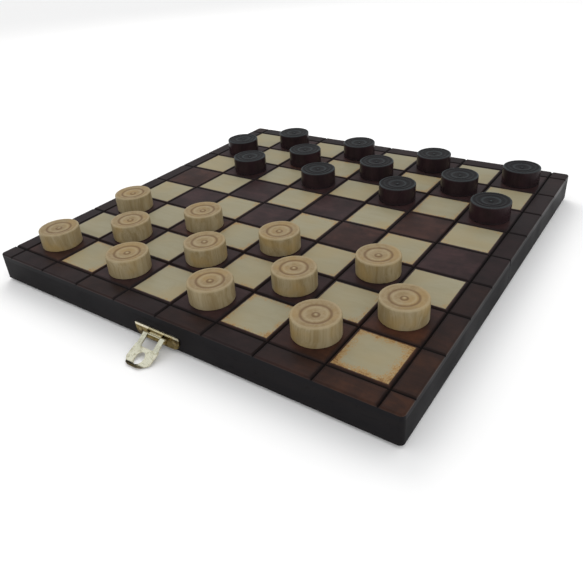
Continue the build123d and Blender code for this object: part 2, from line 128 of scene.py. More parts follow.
class Graph:
    """A short way to write the nodes of one material or one node group."""

    def __init__(self, tree: bpy.types.NodeTree) -> None:
        """Starts on an empty tree.

        Args:
            tree: the node tree that the nodes go into.
        """
        self.tree = tree
        self.tree.nodes.clear()

    def add(self, kind: str, values: dict | None = None, **settings: object) -> bpy.types.Node:
        """Adds one node.

        Args:
            kind: the node's type, without the ShaderNode at its start.
            values: constants or sockets for its inputs, by name or index.
            settings: properties of the node itself.

        Returns:
            The new node.
        """
        node = self.tree.nodes.new("ShaderNode" + kind)
        for name, setting in settings.items():
            setattr(node, name, setting)
        for key, value in (values or {}).items():
            self.feed(node.inputs[key], value)
        return node

    def feed(self, socket: Socket, value: object) -> None:
        """Links a socket to an input, or sets the input to a constant.

        Args:
            socket: the input.
            value: the socket or the constant.
        """
        if isinstance(value, bpy.types.NodeSocket):
            self.tree.links.new(value, socket)
        else:
            socket.default_value = value

    def place(self, tree: bpy.types.NodeTree, values: dict) -> Sockets:
        """Places a shared node group.

        Args:
            tree: the group.
            values: constants or sockets for its inputs, by name.

        Returns:
            The group's outputs, by name.
        """
        node = self.tree.nodes.new("ShaderNodeGroup")
        node.node_tree = tree
        for key, value in values.items():
            self.feed(node.inputs[key], value)
        return node.outputs

    def calculate(self, operation: str, first: Value, second: Value = 0.0) -> Socket:
        """One Math node.

        Args:
            operation: what it does.
            first: its first value.
            second: its second value.

        Returns:
            The result's socket.
        """
        return self.add("Math", {0: first, 1: second}, operation=operation).outputs[0]

    def plus(self, first: Value, *others: Value) -> Value:
        """All the values added up, from the left.

        Args:
            first: the first value.
            others: the rest.

        Returns:
            Their sum.
        """
        for other in others:
            first = self.calculate("ADD", first, other)
        return first

    def times(self, first: Value, *others: Value) -> Value:
        """All the values multiplied, from the left.

        Args:
            first: the first value.
            others: the rest.

        Returns:
            Their product.
        """
        for other in others:
            first = self.calculate("MULTIPLY", first, other)
        return first

    def less(self, first: Value, second: Value) -> Socket:
        """The first value less the second."""
        return self.calculate("SUBTRACT", first, second)

    def distance(self, across: Value, along: Value) -> Socket:
        """The length of a line that runs so far across and along: the root of the sum of their squares."""
        squares = self.plus(self.times(across, across), self.times(along, along))
        return self.calculate("SQRT", squares)

    def within(self, value: Value, low: float, high: float) -> Value:
        """1 where a value lies between two limits, and 0 elsewhere."""
        past_low = self.calculate("GREATER_THAN", value, low)
        return self.times(past_low, self.calculate("LESS_THAN", value, high))

    def split(self, vector: Socket) -> Sockets:
        """A vector's x, y and z."""
        return self.add("SeparateXYZ", {0: vector}).outputs

    def facing_up(self) -> Socket:
        """The height of the surface's normal: 1 where it faces up and 0 on an upright side."""
        return self.split(self.add("TexCoord").outputs["Normal"])[2]

    def ramp(self, value: Value, step: Step) -> Socket:
        """A smooth step of a value.

        Args:
            value: the value that is read.
            step: where the step runs, and from what to what.

        Returns:
            The result's socket.
        """
        values = {0: value, 1: step.low, 2: step.high, 3: step.start, 4: step.end}
        return self.add("MapRange", values, interpolation_type="SMOOTHSTEP").outputs[0]

    def ease(self, share: Value, start: Value, end: Value) -> Socket:
        """Start where the share is 0 and end where it is 1, with a smooth step between."""
        return self.ramp(share, Step(0.0, 1.0, start, end))

    def blend(self, share: Value, first: object, second: object) -> Socket:
        """Mixes two colours.

        Args:
            share: how much of the second shows, 0 to 1.
            first: a colour or socket.
            second: a colour or socket.

        Returns:
            The mixed colour's socket.
        """
        node = self.add("Mix", data_type="RGBA", clamp_factor=True)
        for index, value in ((0, share), (6, first), (7, second)):
            self.feed(node.inputs[index], value)
        return node.outputs[2]

    def scaled(self, vector: Socket, scale: Sequence[float], shift: Sequence[float] = (0, 0, 0)) -> Socket:
        """Centres a pattern and then scales it, in one Mapping node.

        Args:
            vector: the coordinates.
            scale: what each axis is multiplied by.
            shift: what is added to each axis first.

        Returns:
            The new coordinates' socket.
        """
        location = tuple(float(size * move) for size, move in zip(scale, shift))
        values = {"Vector": vector, "Location": location, "Scale": tuple(scale)}
        return self.add("Mapping", values, vector_type="POINT").outputs[0]

    def noise(self, vector: Socket, pattern: Noise) -> Socket:
        """A noise field.

        Args:
            vector: where it is read.
            pattern: its size and roughness.

        Returns:
            The noise value's socket, around 0.5.
        """
        values = {
            "Vector": vector,
            "Scale": pattern.scale,
            "Detail": pattern.detail,
            "Roughness": pattern.rough,
            "Distortion": pattern.warp,
        }
        return self.add("TexNoise", values).outputs[0]

    def wander(self, vector: Socket, pattern: Noise, width: Value) -> Value:
        """A noise field about 0: the noise less a half, times a width."""
        return self.times(self.less(self.noise(vector, pattern), 0.5), width)


def new_group(name: str, inputs: dict[str, str], outputs: dict[str, str]) -> tuple[Graph, dict, Sockets]:
    """Makes an empty node group with named sockets.

    Args:
        name: the group's name.
        inputs: socket types by input name.
        outputs: socket types by output name.

    Returns:
        The graph to draw in, the group's input sockets by name, and the sockets that its results go to.
    """
    tree = bpy.data.node_groups.new(name, "ShaderNodeTree")
    for direction, sockets in (("INPUT", inputs), ("OUTPUT", outputs)):
        for socket_name, kind in sockets.items():
            tree.interface.new_socket(name=socket_name, in_out=direction, socket_type="NodeSocket" + kind)
    graph = Graph(tree)
    source = tree.nodes.new("NodeGroupInput")
    target = tree.nodes.new("NodeGroupOutput")
    return graph, {socket.name: socket for socket in source.outputs}, target.inputs


@dataclass(frozen=True)
class BoardPlan:
    """Where the board lies, read from the frame, in metres."""

    fold_y: float
    half_width: float
    half_depth: float
    gap: float
    rim_z: float
    seam_z: float
    top_z: float

    @staticmethod
    def read() -> "BoardPlan":
        """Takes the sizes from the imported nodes.

        Returns:
            The plan.
        """
        low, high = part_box("front_playing_panel")
        rear_low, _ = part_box("rear_playing_panel")
        rail_low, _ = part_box("front_outer_rail")
        fold_y = (high[1] + rear_low[1]) / 2
        return BoardPlan(
            fold_y=fold_y,
            half_width=high[0],
            half_depth=fold_y - low[1],
            gap=rear_low[1] - high[1],
            rim_z=rail_low[2],
            seam_z=low[2],
            top_z=high[2],
        )


@dataclass(frozen=True)
class WoodGrain:
    """Wood grain: long streaks, short dark pores and slow clouds."""

    bend: Noise = Noise(30.0, 2.0)
    wide: Noise = Noise(9.0, 5.0, 0.62)
    fine: Noise = Noise(38.0, 4.0, 0.7)
    wide_share: float = 0.65
    streak_step: Step = Step(0.34, 0.66)
    pores: Noise = Noise(90.0, 2.0, 0.5)
    pore_step: Step = Step(0.6, 0.72)
    clouds: Noise = Noise(22.0, 2.0)
    cloud_step: Step = Step(0.3, 0.7)

    def build(self) -> bpy.types.NodeTree:
        """Draws the group on coordinates that are stretched along the grain and bent by the warp.

        Returns:
            The node group.
        """
        graph, given, results = new_group(
            "wood_grain",
            {"Vector": "Vector", "Stretch": "Vector", "Warp": "Float"},
            {"Streak": "Float", "Pore": "Float", "Cloud": "Float"},
        )
        where = given["Vector"]
        stretched = graph.add("VectorMath", {0: where, 1: given["Stretch"]}, operation="MULTIPLY").outputs[0]
        bent = graph.wander(where, self.bend, given["Warp"])
        vector = graph.add("VectorMath", {0: stretched, 1: bent}, operation="ADD").outputs[0]
        wide = graph.times(graph.noise(vector, self.wide), self.wide_share)
        fine = graph.times(graph.noise(vector, self.fine), 1.0 - self.wide_share)
        graph.feed(results["Streak"], graph.ramp(graph.plus(wide, fine), self.streak_step))
        graph.feed(results["Pore"], graph.ramp(graph.noise(vector, self.pores), self.pore_step))
        graph.feed(results["Cloud"], graph.ramp(graph.noise(where, self.clouds), self.cloud_step))
        return graph.tree


@dataclass(frozen=True)
class HandledMetal:
    """Handled metal: fine scratches, smudges, and tarnish in patches."""

    scratch_stretch: tuple[float, float, float] = (1.0, 9.0, 9.0)
    scratches: Noise = Noise(900.0, 3.0, 0.7)
    smudges: Noise = Noise(260.0, 3.0)
    mark_step: Step = Step(0.35, 0.7)
    patches: Noise = Noise(150.0, 5.0, 0.65, 0.6)
    tarnish_step: Step = Step(0.48, 0.66)

    def build(self) -> bpy.types.NodeTree:
        """Draws the group.

        Returns:
            The node group.
        """
        graph, given, results = new_group(
            "handled_metal", {"Vector": "Vector"}, {"Scratch": "Float", "Smudge": "Float", "Tarnish": "Float"}
        )
        where = given["Vector"]
        scratches = graph.noise(graph.scaled(where, self.scratch_stretch), self.scratches)
        graph.feed(results["Scratch"], graph.ramp(scratches, self.mark_step))
        graph.feed(results["Smudge"], graph.ramp(graph.noise(where, self.smudges), self.mark_step))
        graph.feed(results["Tarnish"], graph.ramp(graph.noise(where, self.patches), self.tarnish_step))
        return graph.tree


@dataclass(frozen=True)
class TrayInside:
    """A mask that is 1 on the inner faces of a half's tray, and 0 on the rims and outsides."""

    board: BoardPlan
    slack: float = 0.1 * MM

    def build(self) -> bpy.types.NodeTree:
        """Draws the group: within the side rails, between a half's two long rails, and over the rims.

        Returns:
            The node group.
        """
        graph, given, results = new_group("tray_inside", {"Vector": "Vector"}, {"Inside": "Float"})
        x, y, z = graph.split(given["Vector"])
        board = self.board
        side = board.half_width - RAIL_WIDTH + self.slack
        near = board.gap / 2 + RAIL_WIDTH - self.slack
        far = board.half_depth - RAIL_WIDTH + self.slack
        from_fold = graph.calculate("ABSOLUTE", graph.less(y, board.fold_y))
        inside = graph.times(
            graph.within(x, -side, side),
            graph.within(from_fold, near, far),
            graph.within(z, board.rim_z + self.slack, board.seam_z + self.slack),
        )
        graph.feed(results["Inside"], inside)
        return graph.tree


@dataclass(frozen=True)
class SharedEffects:
    """The node groups that more than one finish places."""

    grain: bpy.types.NodeTree
    handled: bpy.types.NodeTree
    tray: bpy.types.NodeTree

    @staticmethod
    def build(board: BoardPlan) -> "SharedEffects":
        """Makes each group once.

        Args:
            board: the plan that says where the hollow trays are.

        Returns:
            The groups.
        """
        return SharedEffects(WoodGrain().build(), HandledMetal().build(), TrayInside(board).build())


@dataclass(frozen=True)
class Finish:
    """A material's name, the level of its lacquer's reflection and its relief."""

    name: str
    sheen: float = 0.12
    relief: Relief = Relief(0.05 * MM, 0.3)

    def start(self) -> tuple[bpy.types.Material, Graph, bpy.types.Node, Socket]:
        """Makes the material with its shader and its object coordinates.

        Returns:
            The material, its graph, the shader node and the coordinate socket.
        """
        material = bpy.data.materials.new(self.name)
        material.use_nodes = True
        graph = Graph(material.node_tree)
        output = graph.add("OutputMaterial")
        shader = graph.add("BsdfPrincipled")
        graph.feed(output.inputs["Surface"], shader.outputs["BSDF"])
        where = graph.add("TexCoord").outputs["Object"]
        return material, graph, shader, where

    def bump(self, graph: Graph, height: Value) -> Socket:
        """The normal of a height field from 0 to 1, bumped by the finish's relief."""
        values = {"Height": height, "Distance": self.relief.depth, "Strength": self.relief.strength}
        return graph.add("Bump", values).outputs[0]


@dataclass(frozen=True)
class SquareMap:
    """What is known of each point of the playing surface, as sockets.

    Distances are in squares, and a mask is 1 where its name holds.
    """

    where: Socket
    wood: Sockets
    nearest: Socket
    furthest: Socket
    in_field: Value
    on_top: Socket
    left_bare: Value
    tint: Socket
    thin: Socket


@dataclass(frozen=True)
class PlayingSurface(Finish):
    """The chequered top: pale varnished squares left bare in a dark stain, with burnt grid lines."""

    relief: Relief = Relief(0.05 * MM, 0.35)
    roughness: tuple[float, float] = (0.3, 0.42)
    edge_sheen: float = 0.3
    grain: Axis = Axis.X
    grain_warp: float = 0.25
    streak_height: float = 0.5
    pore_depth: float = 0.5

    # The grid. The stain stops short of each line in a ragged edge, and the lines are burnt.
    top_skin: float = 1.2 * MM
    stain_edge: Step = Step(INSET - 0.008, INSET + 0.008)
    edge_rag: Noise = Noise(700.0)
    rag_width: float = 0.014
    burn: Step = Step(0.1 * HALF_LINE, 0.8 * HALF_LINE, 0.85, 0.0)
    burn_roughness: float = 0.3
    char: Colour = paint(12, 9, 9)

    # The stain is thin round the handled corner, near and right, counted from the field's middle.
    worn_corner: tuple[float, float] = (4.2, -4.2)
    wear: Step = Step(0.8, 2.9, 1.0, 0.0)

    # The bare squares, with warm patches.
    pale: Colour = paint(146, 140, 117)
    pale_streak: Colour = paint(134, 126, 99)
    pale_streaking: float = 0.5
    pale_warm: Colour = paint(151, 136, 102)
    warm_patches: Noise = Noise(30.0, 2.0)
    warm_step: Step = Step(0.4, 0.75)
    warm_share: float = 0.6

    # Stain drawn into them from their edges: furthest where it is thin, unevenly, and in specks.
    near_rim: Step = Step(0.05, 0.3, 1.0, 0.0)
    far_rim: Step = Step(0.08, 0.3, 0.2, 0.0)
    creep: Noise = Noise(150.0, 5.0, 0.7)
    creep_width: float = 1.9
    speck: Noise = Noise(1100.0, 3.0, 0.7)
    speck_width: float = 2.2
    square_reach: Step = Step(0.2, 1.0, -0.36, 0.0)
    worn_reach: float = 0.75
    amber: Colour = paint(154, 122, 76)
    amber_step: Step = Step(0.86, 1.3, 0.0, 0.85)
    rust: Colour = paint(112, 78, 46)
    rust_step: Step = Step(1.25, 1.75, 0.0, 0.8)

    # The stained squares and margin, where brown or violet wood glows through in clouds.
    stain: Colour = paint(26, 20, 20)
    edge_stain: Colour = paint(25, 24, 26)
    dark_streaking: float = 0.45
    brown: Colour = paint(81, 49, 32)
    violet: Colour = paint(63, 44, 44)
    brown_squares: Step = Step(0.6, 1.0, 0.0, 0.5)
    clouds: Noise = Noise(60.0, 5.0, 0.65)
    cloud_step: Step = Step(0.3, 0.7)
    cloud_glow: tuple[float, float] = (0.5, 1.0)
    line_glow: Step = Step(0.0, 0.09, 0.3, 1.0)
    margin_glow: float = 0.36
    worn_glow: float = 0.58

    # The panel's unfinished back, inside the trays.
    bare: Colour = paint(178, 154, 118)
    bare_streak: Colour = dimmed(paint(178, 154, 118), 0.82)
    bare_roughness: float = 0.25

    def make(self, shared: SharedEffects, board: BoardPlan) -> bpy.types.Material:
        """Draws the stain, the bare squares over it, the burnt lines, and the back of the panel.

        Args:
            shared: the shared node groups.
            board: where the fold line and the top are.

        Returns:
            The material.
        """
        material, graph, shader, where = self.start()
        at = self.map_squares(graph, where, shared, board)
        colour = graph.blend(at.on_top, self.edge_stain, self.dark_wood(graph, at))
        colour = graph.blend(at.left_bare, colour, self.pale_wood(graph, at))
        burnt = graph.times(graph.ramp(at.nearest, self.burn), at.on_top)
        colour = graph.blend(burnt, colour, self.char)
        inside = graph.place(shared.tray, {"Vector": where})["Inside"]
        bare = graph.blend(at.wood["Streak"], self.bare, self.bare_streak)
        graph.feed(shader.inputs["Base Color"], graph.blend(inside, colour, bare))
        sheen = graph.ease(at.on_top, self.edge_sheen * self.sheen, self.sheen)
        graph.feed(shader.inputs["Specular IOR Level"], sheen)
        gloss = graph.ease(at.wood["Cloud"], *self.roughness)
        burnt_dull = graph.times(burnt, self.burn_roughness)
        bare_dull = graph.times(inside, self.bare_roughness)
        graph.feed(shader.inputs["Roughness"], graph.plus(gloss, burnt_dull, bare_dull))
        streaks = graph.times(at.wood["Streak"], self.streak_height)
        height = graph.less(streaks, graph.times(at.wood["Pore"], self.pore_depth))
        graph.feed(shader.inputs["Normal"], self.bump(graph, height))
        return material

    def map_squares(self, graph: Graph, where: Socket, shared: SharedEffects, board: BoardPlan) -> SquareMap:
        """Lays the grid over the board, with its squares counted from the near left corner of the field.

        Args:
            graph: the material's graph.
            where: the object coordinates.
            shared: the shared node groups.
            board: where the fold line and the top are.

        Returns:
            The map.
        """
        grid = graph.scaled(where, (1 / SQUARE, 1 / SQUARE, 1 / SQUARE), (0.0, -board.fold_y, 0.0))
        x, y, z = graph.split(grid)
        near_x, column, field_x = self.line_distance(graph, graph.plus(x, SQUARES / 2))
        near_y, row, field_y = self.line_distance(graph, graph.plus(y, SQUARES / 2))
        nearest = graph.calculate("MINIMUM", near_x, near_y)
        in_field = graph.times(field_x, field_y)
        on_top = graph.calculate("GREATER_THAN", z, (board.top_z - self.top_skin) / SQUARE)
        odd = graph.calculate("MODULO", graph.plus(column, row), 2.0)
        ragged = graph.plus(nearest, graph.wander(where, self.edge_rag, self.rag_width))
        away = graph.distance(graph.less(x, self.worn_corner[0]), graph.less(y, self.worn_corner[1]))
        cell = graph.add("CombineXYZ", {0: column, 1: row}).outputs[0]
        stretch = {"Vector": where, "Stretch": self.grain.value, "Warp": self.grain_warp}
        return SquareMap(
            where=where,
            wood=graph.place(shared.grain, stretch),
            nearest=nearest,
            furthest=graph.calculate("MAXIMUM", near_x, near_y),
            in_field=in_field,
            on_top=on_top,
            left_bare=graph.times(odd, in_field, graph.ramp(ragged, self.stain_edge), on_top),
            tint=graph.add("TexWhiteNoise", {0: cell}, noise_dimensions="2D").outputs[0],
            thin=graph.ramp(away, self.wear),
        )

    @staticmethod
    def line_distance(graph: Graph, count: Value) -> tuple[Socket, Socket, Value]:
        """Distance to the nearest grid line along one axis: a count's fraction, or 1 less it.

        Args:
            graph: the material's graph.
            count: squares counted along the axis.

        Returns:
            The distance in squares, the square's number, and 1 within the field.
        """
        part = graph.calculate("FRACT", count)
        near = graph.calculate("MINIMUM", part, graph.less(1.0, part))
        return near, graph.calculate("FLOOR", count), graph.within(count, 0.0, float(SQUARES))

    def pale_wood(self, graph: Graph, at: SquareMap) -> Socket:
        """The bare squares: faintly streaked pale wood, with stain drawn in amber at some edges.

        Args:
            graph: the material's graph.
            at: the map of the squares.

        Returns:
            The colour's socket.
        """
        streaks = graph.times(at.wood["Streak"], self.pale_streaking)
        colour = graph.blend(streaks, self.pale, self.pale_streak)
        patches = graph.ramp(graph.noise(at.where, self.warm_patches), self.warm_step)
        colour = graph.blend(graph.times(patches, self.warm_share), colour, self.pale_warm)
        rim = graph.plus(graph.ramp(at.nearest, self.near_rim), graph.ramp(at.furthest, self.far_rim))
        creep = graph.wander(at.where, self.creep, self.creep_width)
        speck = graph.wander(at.where, self.speck, self.speck_width)
        reach = graph.plus(graph.ramp(at.tint, self.square_reach), graph.times(at.thin, self.worn_reach))
        drawn = graph.plus(rim, graph.plus(creep, speck), reach)
        colour = graph.blend(graph.ramp(drawn, self.amber_step), colour, self.amber)
        return graph.blend(graph.ramp(drawn, self.rust_step), colour, self.rust)

    def dark_wood(self, graph: Graph, at: SquareMap) -> Socket:
        """The stained squares and margin: black towards the lines, with wood glowing through inside.

        Args:
            graph: the material's graph.
            at: the map of the squares.

        Returns:
            The colour's socket.
        """
        clouds = graph.ramp(graph.noise(at.where, self.clouds), self.cloud_step)
        glow = graph.times(graph.ramp(at.nearest, self.line_glow), graph.ease(clouds, *self.cloud_glow))
        warmth = graph.calculate("MAXIMUM", at.thin, graph.ramp(at.tint, self.brown_squares))
        heart = graph.blend(warmth, self.violet, self.brown)
        heart = graph.blend(graph.times(at.wood["Streak"], self.dark_streaking), heart, self.stain)
        wear_and_highlight = graph.times(at.thin, self.worn_glow)
        reach = graph.calculate("MAXIMUM", graph.ease(at.in_field, self.margin_glow, 1.0), wear_and_highlight)
        return graph.blend(graph.times(glow, reach), self.stain, heart)


@dataclass(frozen=True)
class CaseWood(Finish):
    """The frame of a half: lacquered black stain outside and bare wood inside the tray."""

    sheen: float = 0.04
    relief: Relief = Relief(0.06 * MM, 0.4)
    roughness: tuple[float, float] = (0.44, 0.56)
    grain: Axis = Axis.X
    grain_warp: float = 0.2
    stain: Colour = paint(25, 24, 26)
    thin: Colour = paint(32, 29, 29)
    thin_share: float = 0.55
    pore: Colour = paint(15, 14, 15)
    pore_share: float = 0.6
    bare: Colour = paint(184, 160, 122)
    bare_streak: Colour = paint(160, 134, 98)
    bare_roughness: float = 0.25

    def make(self, shared: SharedEffects) -> bpy.types.Material:
        """Draws the stain with the grain faintly through it.

        Args:
            shared: the shared node groups.

        Returns:
            The material.
        """
        material, graph, shader, where = self.start()
        stretch = {"Vector": where, "Stretch": self.grain.value, "Warp": self.grain_warp}
        wood = graph.place(shared.grain, stretch)
        outside = graph.blend(graph.times(wood["Streak"], self.thin_share), self.stain, self.thin)
        outside = graph.blend(graph.times(wood["Pore"], self.pore_share), outside, self.pore)
        bare = graph.blend(wood["Streak"], self.bare, self.bare_streak)
        inside = graph.place(shared.tray, {"Vector": where})["Inside"]
        graph.feed(shader.inputs["Base Color"], graph.blend(inside, outside, bare))
        graph.feed(shader.inputs["Specular IOR Level"], self.sheen)
        gloss = graph.ease(wood["Cloud"], *self.roughness)
        duller = graph.times(inside, self.bare_roughness)
        graph.feed(shader.inputs["Roughness"], graph.plus(gloss, duller))
        graph.feed(shader.inputs["Normal"], self.bump(graph, wood["Streak"]))
        return material


@dataclass(frozen=True)
class TurnedWood(Finish):
    """A turned man: streaks down its side, end grain on its face, painted highlights on its ridges, rim and
    nub, and painted shade in its grooves and pit.
    """

    roughness: tuple[float, float] = (0.36, 0.5)
    stretch: tuple[float, float, float] = (26.0, 26.0, 1.2)
    grain_warp: float = 0.4
    contrast: float = 0.75
    body: Colour = paint(156, 143, 114)
    streak: Colour = paint(122, 103, 66)
    blush: Colour = paint(158, 132, 82)
    patches: Noise = Noise(60.0, 2.0)
    patch_step: Step = Step(0.45, 0.7)
    patch_share: float = 0.6
    face: Colour = paint(133, 110, 82)
    face_step: Step = Step(0.5, 0.95, 0.0, 0.4)
    # Painted highlight on the ridges, rim and nub, where the ring attribute is over a half.
    wear_and_highlight: Colour = paint(166, 153, 124)
    highlight_step: Step = Step(0.5, 1.0, 0.0, 0.7)
    # The pores' colour, which is also the painted shade in the grooves and pit, where the ring attribute is
    # under a half.
    groove: Colour = paint(96, 70, 48)
    groove_shade_step: Step = Step(0.0, 0.5, 0.75, 0.0)
    pore_share: float = 0.25

    def make(self, shared: SharedEffects) -> bpy.types.Material:
        """Draws the wood from the man's own lathe coordinates, kept in its turned attribute.

        Args:
            shared: the shared node groups.

        Returns:
            The material.
        """
        material, graph, shader, _ = self.start()
        turned = graph.add("Attribute", attribute_name="turned").outputs["Vector"]
        # The ring attribute holds the painted light and shade that is worked out from the turned shape.
        tone = graph.add("Attribute", attribute_name="ring").outputs["Fac"]
        stretch = {"Vector": turned, "Stretch": self.stretch, "Warp": self.grain_warp}
        wood = graph.place(shared.grain, stretch)
        colour = graph.blend(graph.times(wood["Streak"], self.contrast), self.body, self.streak)
        patches = graph.ramp(graph.noise(turned, self.patches), self.patch_step)
        colour = graph.blend(graph.times(patches, self.patch_share), colour, self.blush)
        colour = graph.blend(graph.ramp(graph.facing_up(), self.face_step), colour, self.face)
        pores = graph.times(wood["Pore"], self.pore_share * self.contrast)
        colour = graph.blend(pores, colour, self.groove)
        # Painted highlight on the ridges, rim and nub, then painted shade in the grooves and pit.
        colour = graph.blend(graph.ramp(tone, self.highlight_step), colour, self.wear_and_highlight)
        colour = graph.blend(graph.ramp(tone, self.groove_shade_step), colour, self.groove)
        graph.feed(shader.inputs["Base Color"], colour)
        graph.feed(shader.inputs["Specular IOR Level"], self.sheen)
        graph.feed(shader.inputs["Roughness"], graph.ease(wood["Cloud"], *self.roughness))
        graph.feed(shader.inputs["Normal"], self.bump(graph, wood["Streak"]))
        return material


@dataclass(frozen=True)
class SheetMetal(Finish):
    """Plated sheet or wire: bright where it is handled, tarnished in patches, with a painted highlight on
    faces that face up.
    """

    relief: Relief = Relief(0.01 * MM, 0.3)
    roughness: tuple[float, float] = (0.22, 0.42)
    smudge_roughness: float = 0.6
    tarnish_roughness: float = 0.5
    bright: Colour = paint(158, 142, 100)
    dull: Colour = paint(76, 62, 36)
    dull_share: float = 0.8
    # The painted highlight's colour, and how far a face must face up to take it.
    lit_edge: Colour = paint(252, 244, 218)
    lit_step: Step = Step(0.8, 0.97, 0.0, 0.85)

    def make(self, shared: SharedEffects) -> bpy.types.Material:
        """Draws the plating.

        Args:
            shared: the shared node groups.

        Returns:
            The material.
        """
        material, graph, shader, where = self.start()
        metal = graph.place(shared.handled, {"Vector": where})
        colour = graph.blend(graph.times(metal["Tarnish"], self.dull_share), self.bright, self.dull)
        # A painted highlight on faces that face up.
        colour = graph.blend(graph.ramp(graph.facing_up(), self.lit_step), colour, self.lit_edge)
        graph.feed(shader.inputs["Base Color"], self.tarnish_and_painted_light(graph, where, colour))
        graph.feed(shader.inputs["Metallic"], 1.0)
        smudges = graph.times(metal["Smudge"], self.smudge_roughness)
        wear_and_highlight = graph.plus(smudges, graph.times(metal["Tarnish"], self.tarnish_roughness))
        graph.feed(shader.inputs["Roughness"], graph.ease(wear_and_highlight, *self.roughness))
        graph.feed(shader.inputs["Normal"], self.bump(graph, metal["Scratch"]))
        return material

    def tarnish_and_painted_light(self, graph: Graph, where: Socket, colour: Socket) -> Socket:
        """Colours the tarnish and painted light that one piece has of its own. Plain sheet has none.

        Args:
            graph: the material's graph.
            where: the object coordinates.
            colour: the plating's colour so far.

        Returns:
            The colour's socket.
        """
        return colour


@dataclass(frozen=True)
class PlateSheet(SheetMetal):
    """The latch plate, with a painted highlight along its top edge."""

    top: float = 0.0
    edge_width: float = 1.5 * MM
    edge_blur: float = 0.2 * MM
    edge_share: float = 0.9

    def tarnish_and_painted_light(self, graph: Graph, where: Socket, colour: Socket) -> Socket:
        """A painted highlight along the top edge.

        Args:
            graph: the material's graph.
            where: the object coordinates.
            colour: the plating's colour so far.

        Returns:
            The colour's socket.
        """
        # A painted highlight over the top of the plate's face.
        start = self.top - self.edge_width
        edge = Step(start - self.edge_blur, start + self.edge_blur, 0.0, self.edge_share)
        return graph.blend(graph.ramp(graph.split(where)[2], edge), colour, self.lit_edge)


@dataclass(frozen=True)
class HaspSheet(SheetMetal):
    """The hasp: bright, mottled with tarnish, and with a painted brown reflection down in its curled end."""

    axis: tuple[float, float] = (0.0, 0.0)
    # The painted reflection's colour, how far from the pin it starts and ends, and how uneven its edge is.
    lip_reflection: Colour = paint(112, 92, 48)
    lip_reflection_step: Step = Step(16.6 * MM, 19.0 * MM, 0.0, 0.9)
    lip_reflection_wander: float = 2.5 * MM
    patch: Colour = paint(150, 136, 92)
    mottle: Noise = Noise(420.0, 4.0, 0.65)
    mottle_step: Step = Step(0.46, 0.7, 0.0, 0.5)

    def tarnish_and_painted_light(self, graph: Graph, where: Socket, colour: Socket) -> Socket:
        """Tarnish in patches, and a painted brown reflection that deepens with distance from the pin.

        Args:
            graph: the material's graph.
            where: the object coordinates.
            colour: the plating's colour so far.

        Returns:
            The colour's socket.
        """
        _, y, z = graph.split(where)
        from_pin = graph.distance(graph.less(y, self.axis[0]), graph.less(z, self.axis[1]))
        cloud = graph.noise(where, self.mottle)
        mottled = graph.blend(graph.ramp(cloud, self.mottle_step), colour, self.patch)
        uneven = graph.times(graph.less(cloud, 0.5), self.lip_reflection_wander)
        # The painted brown reflection down the curled end.
        return graph.blend(graph.ramp(graph.plus(from_pin, uneven), self.lip_reflection_step), mottled, self.lip_reflection)


@dataclass(frozen=True)
class Surface:
    """Points and faces worked out as whole arrays, with their place in them."""

    points: np.ndarray
    quads: np.ndarray
    triangles: np.ndarray = field(default_factory=lambda: np.empty((0, 3), dtype=int))

    def make(self, name: str, material: bpy.types.Material) -> bpy.types.Object:
        """Makes a smooth shaded object at the origin.

        Args:
            name: the object's name.
            material: its finish.

        Returns:
            The object, linked to the scene.
        """
        mesh = bpy.data.meshes.new(name)
        mesh.from_pydata(self.points.tolist(), [], self.quads.tolist() + self.triangles.tolist())
        mesh.polygons.foreach_set("use_smooth", np.ones(len(mesh.polygons), dtype=bool))
        mesh.materials.append(material)
        mesh.update()
        piece = bpy.data.objects.new(name, mesh)
        bpy.context.scene.collection.objects.link(piece)
        return piece


def bell(distance: np.ndarray, width: float) -> np.ndarray:
    """A bell of height 1 round a distance of 0: e to the minus half of the squared distance over width."""
    return np.exp(-0.5 * (distance / width) ** 2)


